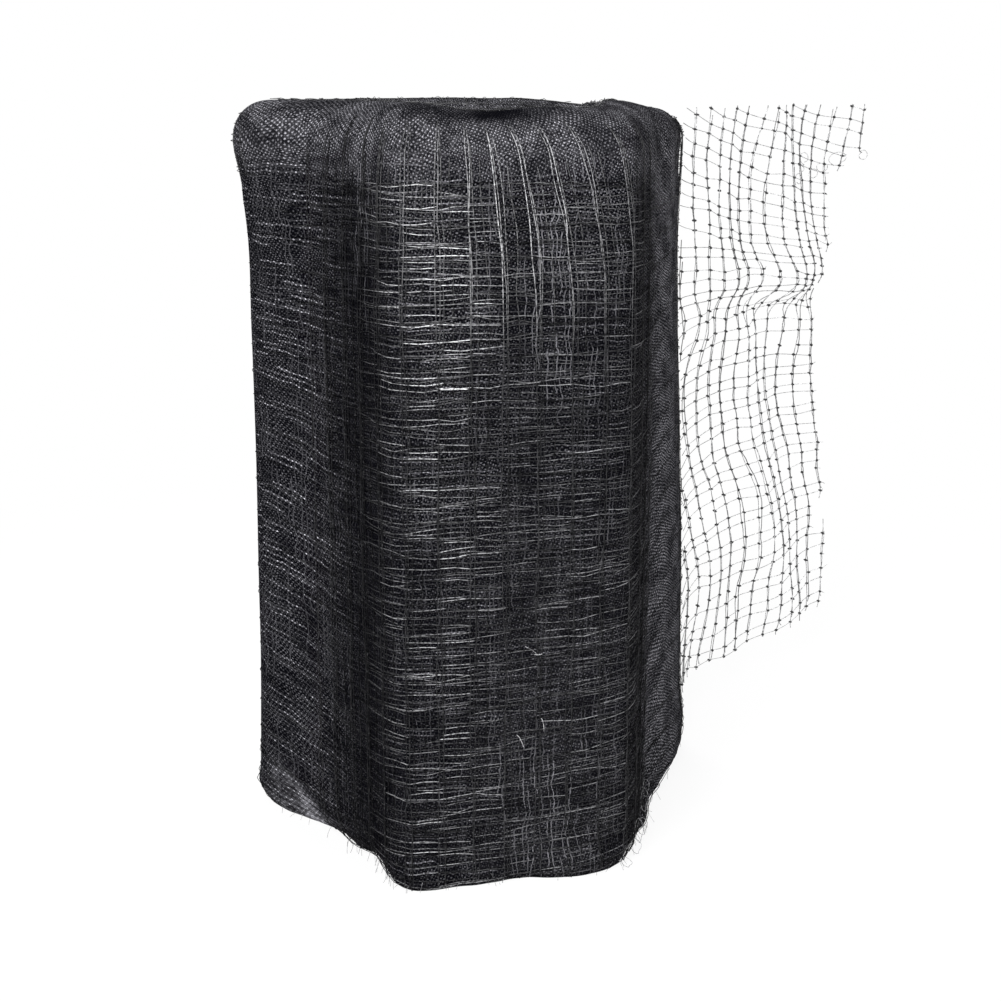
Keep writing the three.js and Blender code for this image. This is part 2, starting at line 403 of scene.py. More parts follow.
def colourAndBump(tree, shader, look, share, rise):
    # from dark to pale plastic by the share, and a slight bump by the rise
    mix = addNode(tree, "ShaderNodeMix", data_type="RGBA")
    mix.inputs[6].default_value = (*look["dark"], 1)
    mix.inputs[7].default_value = (*look["pale"], 1)
    bump = addNode(tree, "ShaderNodeBump", {"Distance": look["bump"], "Height": rise})
    tree.links.new(share, mix.inputs["Factor"])
    tree.links.new(mix.outputs[2], shader.inputs["Base Color"])
    tree.links.new(bump.outputs["Normal"], shader.inputs["Normal"])


buriedLook = {
    "dark": (0.0015, 0.0015, 0.0025),
    "pale": (0.78, 0.77, 0.84),
    "bump": 0.0005,
    "near": {"Pitch": 0.00185, "Spread": 0.31, "Turn": 0.5},  # crossings of the turn just below
    "far": {"Pitch": 0.0014, "Spread": 0.30, "Turn": -0.25},  # and of one further down
    "farShare": 0.42,
    "rows": {"Gap": 0.0029, "Thick": 0.0006, "Wobble": 0.005},
    "bands": {"Gap": 0.0038, "Cell": 0.023, "Thick": 0.0010, "Wobble": 0.006, "Stagger": 9.0},
    "uprights": {
        "Turn": math.pi / 2, "Gap": 0.0025, "Cell": 0.036, "Thick": 0.0005, "Wobble": 0.009, "Stagger": 7.0,
    },
    "rowBeads": (0.8, 0.2),  # how pale a row is at the crossings, and everywhere
    "bandBeads": (1.3, 0.08),
    "hazeBeads": (1.5, 0.5),
    "patches": (55.0, 3.0),  # scale and detail of the patches
    "patchDots": (0.36, 0.62, 0.35, 1.0),  # a patch between these two values makes the dots this pale
    "patchHaze": (0.3, 0.7, 0.4, 1.6),
    "clumps": 31.0,  # the uprights show in clumps
    "clumpShare": (0.5, 0.7, 0.0, 0.3),
    "mottle": 240.0,
    "mottleHaze": (0.40, 0.62, 0.45, 1.7),
}


def buriedTurns():
    look = buriedLook
    material, tree, shader = newMaterial("buried turns", 0.9, 0.0)
    net = addNode(tree, "ShaderNodeUVMap").outputs["UV"]

    def times(a, b):
        return nodeMath(tree, "MULTIPLY", a, b)

    def paler(a, b):
        return nodeMath(tree, "MAXIMUM", a, b)

    def buried(group, name):
        return addNode(tree, "ShaderNodeGroup", {"Map": net, **look[name]}, node_tree=group).outputs["Pale"]

    near = buried(crossings, "near")
    uprights = buried(threads, "uprights")
    patches = nodeNoise(tree, net, *look["patches"])
    dots = paler(near, times(buried(crossings, "far"), look["farShare"]))
    dots = times(times(dots, nodeRange(tree, patches, *look["patchDots"])), nodeAttribute(tree, "dots"))
    rows = times(buried(threads, "rows"), nodeAttribute(tree, "rows"))
    rows = times(rows, nodeMath(tree, "MULTIPLY_ADD", near, *look["rowBeads"]))
    bands = times(buried(threads, "bands"), nodeAttribute(tree, "bands"))
    bands = times(bands, nodeMath(tree, "MULTIPLY_ADD", near, *look["bandBeads"], clamp=True))
    clumps = nodeRange(tree, nodeNoise(tree, net, look["clumps"]), *look["clumpShare"])
    clumps = times(times(uprights, clumps), nodeAttribute(tree, "rows"))
    columns = times(uprights, nodeAttribute(tree, "columns"))
    # painted light: the haze is the bright floor seen through the net near the left foot, and a faint haze
    # elsewhere, most on the lit shoulder
    haze = times(nodeAttribute(tree, "haze"), nodeRange(tree, patches, *look["patchHaze"]))
    haze = times(haze, nodeMath(tree, "MULTIPLY_ADD", near, *look["hazeBeads"]))
    haze = times(haze, nodeRange(tree, nodeNoise(tree, net, look["mottle"]), *look["mottleHaze"]))
    pale = paler(paler(dots, paler(rows, bands)), paler(clumps, columns))
    pale = nodeMath(tree, "ADD", pale, haze, clamp=True)
    colourAndBump(tree, shader, look, pale, pale)
    return material


strandLook = {
    # the pale of the rolled strands is the colour of their painted highlights
    "rolled strands": {
        "dark": (0.0015, 0.0015, 0.002), "pale": (0.90, 0.90, 0.93), "roughness": 0.55, "specular": 0.02,
        "speckle": 0.06, "bump": 0.0001,
    },
    "loose strands": {
        "dark": (0.010, 0.010, 0.011), "pale": (0.72, 0.72, 0.73), "roughness": 0.45, "specular": 0.4,
        "speckle": 0.05, "bump": 0.0001,
    },
    "mottle": 640.0,
    "mottleShare": (0.38, 0.58, 0.22, 1.0),  # a mottle between these two values leaves this share pale
    "specks": 430.0,
    "speckEdge": (0.22, 0.50, 1.0, 0.0),  # a speck fades out between these distances from its middle
    "speckFrom": 0.2,  # the share of the specks that don't show
    "grain": 1500.0,
}


def netStrand(name):
    # drawn plastic: black, painted paler by the pale attribute, which on the rolled strands is painted
    # highlight where the light caught them and on the loose end a paler grey tone; speckled where strands
    # press together
    look = strandLook[name]
    material, tree, shader = newMaterial(name, look["roughness"], look["specular"])
    where = addNode(tree, "ShaderNodeTexCoord").outputs["Object"]
    mottle = nodeRange(tree, nodeNoise(tree, where, strandLook["mottle"]), *strandLook["mottleShare"])
    specks = addNode(tree, "ShaderNodeTexVoronoi", {"Vector": where, "Scale": strandLook["specks"]}).outputs
    some = addNode(tree, "ShaderNodeSeparateColor", {"Color": specks["Color"]}).outputs[0]
    dot = nodeRange(tree, specks["Distance"], *strandLook["speckEdge"])
    strength = nodeRange(tree, some, strandLook["speckFrom"], 1.0, 0.0, look["speckle"])
    dot = nodeMath(tree, "MULTIPLY", dot, strength)
    toneAndHighlight = nodeMath(tree, "MULTIPLY", nodeAttribute(tree, "pale"), mottle, clamp=True)
    grain = nodeNoise(tree, where, strandLook["grain"])
    colourAndBump(tree, shader, look, nodeMath(tree, "MAXIMUM", toneAndHighlight, dot), grain)
    return material


buriedMaterial = buriedTurns()
rollMaterial = netStrand("rolled strands")
tailMaterial = netStrand("loose strands")
print("materials made")


# geometry tree for net strands: guide lines in, rounded strands and knots out

strandForm = {
    "wanderScale": 90.0,  # how fine the wander is
    "knotSegments": 4,
    "knotRings": 3,
}


def strandTree():
    tree, source, result = newGroup("strandsFromLines", "GeometryNodeTree", [
        ("Geometry", "Geometry"), ("Strand Radius", "Float", 0.0004), ("Sides", "Int", 3),
        ("Knot Radius", "Float", 0.0006), ("Knot Low", "Vector", (0.7, 0.7, 0.7)),
        ("Knot High", "Vector", (1.25, 1.25, 1.25)), ("Tumble", "Vector", (6.283, 6.283, 6.283)),
        ("Wander", "Float", 0.0004), ("Seed", "Int", 0), ("Material", "Material"),
    ], ("Geometry", "Geometry"))

    def add(kind, inputs=None, **settings):
        return addNode(tree, "GeometryNode" + kind, inputs, **settings).outputs

    def some(low, high):
        reach = {"Min": low, "Max": high, "Seed": source["Seed"]}
        return addNode(tree, "FunctionNodeRandomValue", reach, data_type="FLOAT_VECTOR").outputs["Value"]

    # the lines wander a little off their guides
    noise = {"Scale": strandForm["wanderScale"], "W": source["Seed"]}
    noise = addNode(tree, "ShaderNodeTexNoise", noise, noise_dimensions="4D")
    push = {0: nodeCentred(tree, noise.outputs["Color"]), "Scale": source["Wander"]}
    push = addNode(tree, "ShaderNodeVectorMath", push, operation="SCALE").outputs[0]
    lines = add("SetPosition", {"Geometry": source["Geometry"], "Offset": push})["Geometry"]

    # strands along the lines
    thick = add("InputNamedAttribute", {"Name": "thick"}, data_type="FLOAT")["Attribute"]
    strands = add("CurveToMesh", {
        "Curve": add("MeshToCurve", {"Mesh": lines})["Curve"],
        "Profile Curve": add("CurvePrimitiveCircle", {"Radius": 1.0, "Resolution": source["Sides"]})["Curve"],
        "Scale": nodeMath(tree, "MULTIPLY", thick, source["Strand Radius"]),
        "Fill Caps": True,
    })["Mesh"]

    # knots at the crossings
    ball = add("MeshUVSphere", {
        "Segments": strandForm["knotSegments"], "Rings": strandForm["knotRings"],
        "Radius": source["Knot Radius"],
    })["Mesh"]
    knots = add("InstanceOnPoints", {
        "Points": lines,
        "Selection": add("InputNamedAttribute", {"Name": "knot"}, data_type="BOOLEAN")["Attribute"],
        "Instance": ball,
        "Rotation": some((0, 0, 0), source["Tumble"]),
        "Scale": some(source["Knot Low"], source["Knot High"]),
    })["Instances"]

    both = addNode(tree, "GeometryNodeJoinGeometry")
    for made in (knots, strands):
        tree.links.new(made, both.inputs["Geometry"])
    smooth = add("SetShadeSmooth", {"Geometry": both.outputs["Geometry"]})["Geometry"]
    real = add("RealizeInstances", {"Geometry": smooth})["Geometry"]
    finish = add("SetMaterial", {"Geometry": real, "Material": source["Material"]})["Geometry"]
    tree.links.new(finish, result)
    return tree


strandsFromLines = strandTree()


def addObject(name, data):
    piece = bpy.data.objects.new(name, data)
    bpy.context.scene.collection.objects.link(piece)
    return piece


def growPiece(name, guide, tree, **values):
    # run the tree over the guide and keep the plain mesh that comes out
    holder = addObject(name + "_guide", guide)
    modifier = holder.modifiers.new("tree", "NODES")
    modifier.node_group = tree
    for item in tree.interface.items_tree:
        if item.item_type == "SOCKET" and item.in_out == "INPUT" and item.name in values:
            modifier[item.identifier] = values[item.name]
    bpy.context.view_layer.update()
    grown = holder.evaluated_get(bpy.context.evaluated_depsgraph_get())
    mesh = bpy.data.meshes.new_from_object(grown)
    holder.modifiers.clear()
    bpy.data.objects.remove(holder)
    bpy.data.meshes.remove(guide)
    mesh.name = name
    piece = addObject(name, mesh)
    print(name, sum(len(face.vertices) - 2 for face in mesh.polygons), "triangles")
    return piece


def guideMesh(lines):
    # lines: points, closed or not, then thick, pale and knots, each one value or one for every point
    points = np.concatenate([line[0] for line in lines])
    edges = []
    start = 0
    for line in lines:
        count = len(line[0])
        ids = np.arange(start, start + count)
        edges.append(np.stack([ids[:-1], ids[1:]], 1))
        if line[1]:
            edges.append([[ids[-1], ids[0]]])
        start += count
    edges = np.concatenate(edges)
    mesh = bpy.data.meshes.new("guide")
    mesh.vertices.add(len(points))
    mesh.vertices.foreach_set("co", points.astype(np.float32).ravel())
    mesh.edges.add(len(edges))
    mesh.edges.foreach_set("vertices", edges.astype(np.int32).ravel())
    for name, kind, slot in (("thick", "FLOAT", 2), ("pale", "FLOAT", 3), ("knot", "BOOLEAN", 4)):
        values = np.concatenate([np.broadcast_to(line[slot], len(line[0])) for line in lines])
        mesh.attributes.new(name, kind, "POINT").data.foreach_set("value", values)
    mesh.update()
    return mesh


def smoothThrough(values, stops, closed):
    # Catmull-Rom through the rows of values, read at the given stops (0 to 1) of each gap
    values = np.asarray(values, float)
    if closed:
        padded = np.concatenate([values[-1:], values, values[:2]])
        gaps = len(values)
    else:
        first = 2 * values[:1] - values[1:2]
        last = 2 * values[-1:] - values[-2:-1]
        padded = np.concatenate([first, values, last])
        gaps = len(values) - 1
    t = np.asarray(stops, float)[None, :, None]
    a, b, c, d = (padded[k:k + gaps, None, :] for k in range(4))
    made = 0.5 * (2 * b + (c - a) * t + (2 * a - 5 * b + 4 * c - d) * t**2 + (3 * b - a - 3 * c + d) * t**3)
    made = made.reshape(-1, values.shape[1])
    return made if closed else np.concatenate([made, values[-1:]])


def runsOf(keep):
    # the unbroken stretches of kept places
    ids = np.flatnonzero(keep)
    return [run for run in np.split(ids, np.flatnonzero(np.diff(ids) > 1) + 1) if len(run)]


# the buried body of the roll

coreForm = {
    "around": 320,
    "rows": (96, 14, 56, 8, 10),
    "inset": 0.0025,  # under the front and the back, where the outer turns show as separate strands
    "sideInset": 0.0010,
    "endInset": 0.0012,
    "endStart": (0.440, 0.470),  # the wound end's inset comes in between these travels
    "sides": [(176, 58), (2, 44)],  # bearing, width
    "sideShare": 1.6,
    "shoulderStart": (0.396, 0.430),
    "footInset": 0.001,
    "footLoose": [(184, 46, 0.01, 0.06), (-8, 55, 0.01, 0.07)],  # bearing, width, full up to and gone above
    "fringe": [(33, 26, 0.0022), (174, 20, 0.0014)],  # loose turns at the shoulder: bearing, width, depth
    "fringeStart": (0.385, 0.405),
    "fringeStop": (0.440, 0.462),
    "crease": (-118, 26, 0.6, 0.36, 0.41),  # bearing, width, how dark, fades out or in between these travels
    "mouth": (-80, 40, 0.92, 0.437, 0.449),
    "stretch": [(-172, 66, 0.46), (-8, 46, 0.45)],  # where the net is pulled wide, and how much
    "drawn": (0.22, 0.420),  # how far it is drawn out over the shoulder, from this travel on
    "closing": 0.08,  # travel of the last ring, which runs under the foot
}
coreLook = {  # how pale on the wall and on the shoulder, and bearing, width, lowest and full travel, share: the buried net's pattern with painted light and shade in it, paler on the shoulder and facets where the light falls and darker on the left facet
    "dots": (0.12, 0.38, [
        (180, 60, -0.1, 0.0, 0.03), (2, 50, -0.1, 0.0, 0.52), (-62, 30, 0.33, 0.39, 0.14),
        (-22, 40, 0.38, 0.42, 0.16), (-97, 26, 0.18, 0.28, 0.12),
    ]),
    "rows": (0.22, 0.03, [
        (-99, 30, -0.1, 0.0, 0.36), (-99, 26, 0.24, 0.31, 0.22), (-58, 26, -0.1, 0.0, 0.12),
        (75, 60, -0.1, 0.0, 0.30),
    ]),
    "bands": (0.10, 0.08, [
        (-163, 50, -0.1, 0.0, 0.72), (-163, 50, 0.20, 0.04, -0.22), (2, 45, -0.1, 0.0, 0.30),
        (140, 50, -0.1, 0.0, 0.20),
    ]),
    "columns": (0.06, 0.00, [
        (-68, 24, 0.11, 0.05, 0.20), (-66, 34, 0.26, 0.33, 0.14), (-121, 8, 0.30, 0.36, 0.30),
    ]),
    # haze: painted light, the bright floor showing through the net near the left foot, and a faint haze
    # elsewhere, most on the lit shoulder
    "haze": (0.000, 0.030, [
        (2, 50, -0.1, 0.0, 0.006), (-64, 34, 0.30, 0.12, 0.008), (-172, 10, 0.042, 0.022, 0.06),
        (-161, 9, 0.028, 0.014, 0.20), (-152, 8, 0.018, 0.006, 0.16),
    ]),
}


def sumOf(places, bearing, travel):
    total = 0
    for at, width, low, full, share in places:
        total = total + share * nearBearing(bearing, at, width) * smoothStep(travel, low, full)
    return total


def shoulderShare(travel):
    return smoothStep(travel, *coreForm["shoulderStart"])


def sideShare(bearing):
    share = sum(nearBearing(bearing, at, width) for at, width in coreForm["sides"])
    return np.clip(share * coreForm["sideShare"], 0, 1)


def coreDepth(bearing, travel):
    # the outer turns stand off the body most in front, and at the two loose corners of the foot
    side = np.maximum(sideShare(bearing), shoulderShare(travel))
    depth = coreForm["inset"] * (1 - side) + coreForm["sideInset"] * side
    foot = sum(
        nearBearing(bearing, at, width) * (1 - smoothStep(travel, full, gone))
        for at, width, full, gone in coreForm["footLoose"]
    )
    fringe = sum(reach * nearBearing(bearing, at, width) for at, width, reach in coreForm["fringe"])
    fringe = fringe * smoothStep(travel, *coreForm["fringeStart"])
    fringe = fringe * (1 - smoothStep(travel, *coreForm["fringeStop"]))
    end = (coreForm["endInset"] - coreForm["sideInset"]) * smoothStep(travel, *coreForm["endStart"])
    return depth + coreForm["footInset"] * foot + fringe + end


def darkening(bearing, travel):
    # less light reaches the net in the crease beside the front and in the mouth of the wound end
    at, width, share, low, high = coreForm["crease"]
    crease = share * nearBearing(bearing, at, width) * (1 - smoothStep(travel, low, high))
    at, width, share, low, high = coreForm["mouth"]
    mouth = share * nearBearing(bearing, at, width) * smoothStep(travel, low, high)
    return (1 - crease) * (1 - mouth)


def makeCore():
    stops = (0, wallTop, shoulderTop, endInside, lipInside, lipInside + rollForm["height"] - 2 * eye["lip"])
    travels = np.concatenate([
        np.linspace(a, b, n, endpoint=False) for a, b, n in zip(stops, stops[1:], coreForm["rows"])
    ] + [[stops[-1]]])
    count = coreForm["around"]
    lengths = np.arange(count + 1) * girth / count
    bearings, ups = np.meshgrid(bearingAt(lengths), travels)
    points = rollSkin(bearings, ups, coreDepth(bearings, ups))[:, :count]
    points[..., 2] = np.maximum(points[..., 2], 0)
    points[-1, :, 2] = 0  # the hollow runs out through the foot
    points[0, :, 2] = 0
    drawn, start = coreForm["drawn"]
    level = ups - sweepOf(bearings, ups) - drawn * np.clip(ups - start, 0, None)
    level = np.concatenate([level, level[-1:] + coreForm["closing"]])
    pulled = 1 - sum(share * nearBearing(bearings[0], at, width) for at, width, share in coreForm["stretch"])
    across = np.concatenate([[0], np.cumsum(pulled[:-1])]) * girth / count
    rings = len(travels)
    mesh = bpy.data.meshes.new("wound_core")
    faces = []
    corners = []
    for ring in range(rings):
        after = (ring + 1) % rings
        for i in range(count):
            j = (i + 1) % count
            faces.append((ring * count + i, ring * count + j, after * count + j, after * count + i))
            corners += [
                (across[i], level[ring, i]), (across[i + 1], level[ring, i + 1]),
                (across[i + 1], level[ring + 1, i + 1]), (across[i], level[ring + 1, i]),
            ]
    mesh.from_pydata(points.reshape(-1, 3).tolist(), [], faces)
    layer = mesh.uv_layers.new(name="net")
    layer.data.foreach_set("uv", np.array(corners, np.float32).ravel())
    rise = shoulderShare(ups)
    dark = darkening(bearings, ups)
    # painted light and shade: the pattern is paler on the lit shoulder and lit facets, and darker in the
    # painted shade of darkening
    for name, (wall, shoulder, places) in coreLook.items():
        share = (wall + sumOf(places, bearings, ups)) * (1 - rise) + shoulder * rise
        share = (share * dark)[:, :count]
        mesh.attributes.new(name, "FLOAT", "POINT").data.foreach_set("value", share.ravel())
    mesh.polygons.foreach_set("use_smooth", [True] * len(faces))
    mesh.materials.append(buriedMaterial)
    mesh.update()
    return addObject("wound_core", mesh)


core = makeCore()
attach(core, "root")
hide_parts("net_roll")
print("wound core made")


# the outer turns: folded net, so its layers share their uprights while their rows fall between each other

turns = {
    "columns": 45,
    "rowGap": 0.0182,
    "stops": (0, 0.09, 0.5, 0.91),
    "topTravel": 0.452,
    "uprightThick": 1.0,
    "crossThick": 0.92,
    "strandRadius": 0.00027,
    "knotRadius": 0.00050,
    "wander": 0.0005,
    "lowest": 0.0006,  # travel where the strands end at the foot
    "floorGap": 0.0008,
    "acrossWaver": 0.0012,  # how far a knot strays to the side, up or down, and inwards
    "upWavers": (0.0016, 0.0010),
    "inWaver": 0.0003,
    "jitter": 0.0004,
    "sag": 0.0006,
    "uprightShades": (0.45, 1.0),
    "underUpright": 0.25,  # how pale a row stays where it passes an upright
    "lean": [  # bearing, width, how far the uprights are drawn aside
        (-58, 44, -0.024), (-128, 40, 0.012), (60, 60, 0.010), (150, 50, -0.012),
    ],
    "leanRise": (0.335, 0.12, 1.25, 1.7),  # the travel it starts at, it is full after, its most, how sudden
    "sink": (0.0014, 0.425, 0.452),  # how far the strands sink in at the rim, from and to these travels
    "rowSink": (0.0030, 0.398, 0.412),  # and the rows on the shoulder
    "sideSink": 0.0020,  # the uprights at the two sides
    "sideRowSink": 0.0008,  # and the rows there
}
layerTable = [  # piece, depth, column phase, row phase, how pale, and its uprights
    ("net_turn_1", 0.0000, 0.28, 0.10, 1.00, 1.00),
    ("net_turn_1", 0.0003, 0.37, 0.22, 0.90, 0.90),
    ("net_turn_1", 0.0006, 0.31, 0.56, 0.85, 0.00),
    ("net_turn_2", 0.0009, 0.47, 0.38, 0.75, 0.55),
    ("net_turn_2", 0.0012, 0.30, 0.70, 0.70, 0.00),
    ("net_turn_2", 0.0015, 0.33, 0.82, 0.65, 0.00),
    ("net_turn_3", 0.0018, 0.80, 0.02, 0.60, 0.35),
    ("net_turn_3", 0.0021, 0.30, 0.47, 0.55, 0.00),
    ("net_turn_3", 0.0024, 0.35, 0.92, 0.50, 0.00),
]


def leanOf(bearing, travel):
    # near the top the upright strands are drawn sideways toward the middle of the end
    total = 0
    for at, width, reach in turns["lean"]:
        total = total + reach * nearBearing(bearing, at, width)
    start, reach, most, power = turns["leanRise"]
    return total * np.clip((travel - start) / reach, 0, most) ** power


highlightPlaces = {  # painted highlights on the strands where the light caught them: bearing, width, lowest and full travel, how pale
    "upright": [
        (-70, 34, 0.30, 0.38, 0.60), (-96, 24, 0.30, 0.37, 0.25), (60, 60, 0.20, 0.36, 0.30),
        (155, 45, 0.20, 0.36, 0.30),
    ],
    "cross": [
        (-99, 27, -0.10, 0.0, 0.85), (-99, 24, 0.24, 0.31, 0.85), (-60, 34, -0.10, 0.0, 0.37),
        (-160, 34, -0.10, 0.0, 0.04), (60, 60, -0.10, 0.0, 0.38), (96, 40, -0.10, 0.0, 0.45),
        (140, 40, -0.10, 0.0, 0.30),
    ],
}
highlightFalloff = {  # painted highlight: how pale elsewhere, and the share that is lost between these travels
    "upright": (0.05, 0.95, 0.424, 0.446),
    "cross": (0.04, 0.85, 0.39, 0.42),
}


def paintedHighlightAndShade(kind, bearing, travel):
    # painted highlights: how pale the strands are painted where the light caught them, flat against the
    # facets, and less where they are drawn in over the shoulder, times the painted shade of darkening
    least, lost, low, high = highlightFalloff[kind]
    total = (least + sumOf(highlightPlaces[kind], bearing, travel)) * darkening(bearing, travel)
    return total * (1 - lost * smoothStep(travel, low, high))


def sinking(kind, travel):
    reach, low, high = turns[kind]
    return reach * smoothStep(travel, low, high)


def layLayer(number, depth, columnPhase, rowPhase, pale, uprightPale):
    draw = np.random.default_rng(100 + number)
    columns = turns["columns"]
    pitch = girth / columns
    rowGap = turns["rowGap"]
    rows = np.arange((rowPhase - 1) * rowGap, turns["topTravel"], rowGap)
    j, i = np.meshgrid(np.arange(columns), np.arange(len(rows)), indexing="ij")
    turnRound = 2 * np.pi / columns
    length = (j + columnPhase) * pitch
    length = length + turns["acrossWaver"] * uneven(200 + number, j * 2.1, i * 0.35)
    length = length + draw.normal(0, turns["jitter"], j.shape)
    slow, quick = turns["upWavers"]
    travel = rows[i] + slow * uneven(300 + number, np.sin(j * turnRound) * 4, i * 0.9)
    travel = travel + quick * uneven(400 + number, np.cos(j * turnRound) * 9, i * 2.3)
    travel = travel + draw.normal(0, turns["jitter"], j.shape)
    travel = travel + sweepOf(bearingAt(length), travel)
    inward = depth + turns["inWaver"] * uneven(500 + number, j * 1.3, i * 1.7)
    inward = inward + sinking("sink", travel)
    length = length + leanOf(bearingAt(length), travel)

    lines = []
    stops = turns["stops"]
    steps = len(stops)
    crossed = np.array([turns["underUpright"] if stop == 0 else 1.0 for stop in stops])
    paleColumn = draw.uniform(*turns["uprightShades"], columns) * uprightPale
    paleRow = draw.uniform(0.0, 1.0, (len(rows), columns)) ** 2 * pale

    def place(path):
        point = rollSkin(bearingAt(path[:, 0]), path[:, 1], path[:, 2])
        point[:, 2] = np.maximum(point[:, 2], turns["floorGap"])
        return point

    for column in range(columns if uprightPale else 0):
        buried = turns["sideSink"] * sideShare(bearingAt(length[column]))
        path = np.stack([length[column], travel[column], inward[column] + buried], 1)
        path = smoothThrough(path, np.arange(3) / 3, False)
        path = path[path[:, 1] > turns["lowest"]]
        knots = np.zeros(len(path), bool)
        knots[::3] = True
        shade = paleColumn[column] * paintedHighlightAndShade("upright", bearingAt(path[:, 0]), path[:, 1])
        lines.append((place(path), False, turns["uprightThick"], shade, knots))
    for row in range(len(rows)):
        around = np.stack([length[:, row], travel[:, row], inward[:, row]], 1)
        around = np.concatenate([around, around[:1] + [girth, 0, 0]])
        path = smoothThrough(around, stops, False)[:-1]
        sag = np.repeat(draw.normal(0, turns["sag"], columns), steps)
        path[:, 1] = path[:, 1] + sag * np.tile(np.sin(np.pi * np.array(stops)), columns)
        loose = sum(nearBearing(bearingAt(path[:, 0]), at, width) for at, width, reach in coreForm["fringe"])
        path[:, 2] = path[:, 2] + sinking("rowSink", path[:, 1]) * (1 - loose)
        path[:, 2] = path[:, 2] + turns["sideRowSink"] * sideShare(bearingAt(path[:, 0]))
        shade = np.repeat(paleRow[row], steps) * np.tile(crossed, columns)
        shade = shade * paintedHighlightAndShade("cross", bearingAt(path[:, 0]), path[:, 1])
        above = path[:, 1] > turns["lowest"]
        if above.all():
            lines.append((place(path), True, turns["crossThick"], shade, False))
            continue
        for run in runsOf(above):
            if len(run) > 2:
                lines.append((place(path[run]), False, turns["crossThick"], shade[run], False))
    return lines


for pieceName in ("net_turn_1", "net_turn_2", "net_turn_3"):
    lines = []
    for number, (owner, *layer) in enumerate(layerTable):
        if owner == pieceName:
            lines += layLayer(number, *layer)
    piece = growPiece(
        pieceName, guideMesh(lines), strandsFromLines,
        **{"Strand Radius": turns["strandRadius"], "Knot Radius": turns["knotRadius"],
           "Wander": turns["wander"], "Seed": 10, "Material": rollMaterial},
    )
    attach(piece, "root")


# the edges of the turns that show on the wound end, with small loops of net standing on them

endForm = {
    "turns": 12,
    "start": 0.002,  # how far inside the rim the turns' edges begin
    "pitch": 0.0056,  # between one turn's edge and the next
    "perTurn": 90,
    "waver": 0.0009,
    "sink": 0.0008,
    "sinkWaver": 0.0004,
    "shade": (0.03, 0.12),  # of the turns' edges: least, and how much more
    "columns": 60,
    "columnJitter": 0.3,
    "columnSteps": 34,
    "columnReach": (-0.002, 0.012),  # past the rim, and past the lip of the hollow
    "columnTwist": 14,  # in degrees, and the share of it that a column takes
    "twistShare": (0.2, 1.0),
    "columnWaver": (1.2, 0.0005),  # in degrees, and in depth
    "columnShades": (0.01, 0.12),
    "loops": 460,
    "loopHigh": (0.0008, 0.0022),
    "loopWide": (0.0020, 0.0050),
    "loopLean": 0.0015,
    "loopRadius": 0.08,  # typical distance of a loop from the axis
    "loopShades": (0.02, 0.22),
    "thin": 0.8,  # of the columns and the loops
    "strandRadius": 0.00026,
    "wander": 0.0006,
}


def layEnd():
    draw = np.random.default_rng(55)
    lines = []
    start, sink = shoulderTop + endForm["start"], endForm["sink"]
    t = np.arange(endForm["turns"] * endForm["perTurn"]) / endForm["perTurn"]
    waver = endForm["waver"] * uneven(60, t * 31, np.sin(t * 2 * np.pi) * 3)
    depth = sink + endForm["sinkWaver"] * uneven(61, t * 57)
    path = rollSkin(t * 360 - 90, start + endForm["pitch"] * t + waver, depth)
    least, more = endForm["shade"]
    lines.append((path, False, 1.0, least + more * np.clip(uneven(62, t * 23), 0, 1), False))

    outer, inner = endForm["columnReach"]
    jitter = endForm["columnJitter"]
    sideWaver, depthWaver = endForm["columnWaver"]
    ups = np.linspace(shoulderTop + outer, endInside + inner, endForm["columnSteps"])
    for column in range(endForm["columns"]):
        at = 360 * (column + draw.uniform(-jitter, jitter)) / endForm["columns"]
        twist = endForm["columnTwist"] * (ups - ups[0]) / (ups[-1] - ups[0])
        at = at + twist * draw.uniform(*endForm["twistShare"])
        at = at + sideWaver * uneven(column, ups * 160)
        path = rollSkin(at, ups, sink + depthWaver * uneven(63 + column, ups * 210))
        lines.append((path, False, endForm["thin"], draw.uniform(*endForm["columnShades"]), False))

    arch = np.linspace(0, 1, 5)
    for pick in draw.uniform(0, endForm["turns"] - 0.1, endForm["loops"]):
        wide, high = draw.uniform(*endForm["loopWide"]), draw.uniform(*endForm["loopHigh"])
        lean = draw.normal(0, endForm["loopLean"])
        at = pick * 360 - 90 + np.degrees(wide / endForm["loopRadius"]) * (arch - 0.5)
        travel = start + endForm["pitch"] * pick + lean * np.sin(np.pi * arch)
        path = rollSkin(at, travel, 2 * sink)
        path[:, 2] += high * np.sin(np.pi * arch)
        lines.append((path, False, endForm["thin"], draw.uniform(*endForm["loopShades"]), False))
    return lines


endTurns = growPiece(
    "end_turns", guideMesh(layEnd()), strandsFromLines,
    **{"Strand Radius": endForm["strandRadius"], "Wander": endForm["wander"], "Seed": 8,
       "Material": rollMaterial},
)
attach(endTurns, "root")


# cut ends that fray at the foot, and a few stray pale fibres on the front

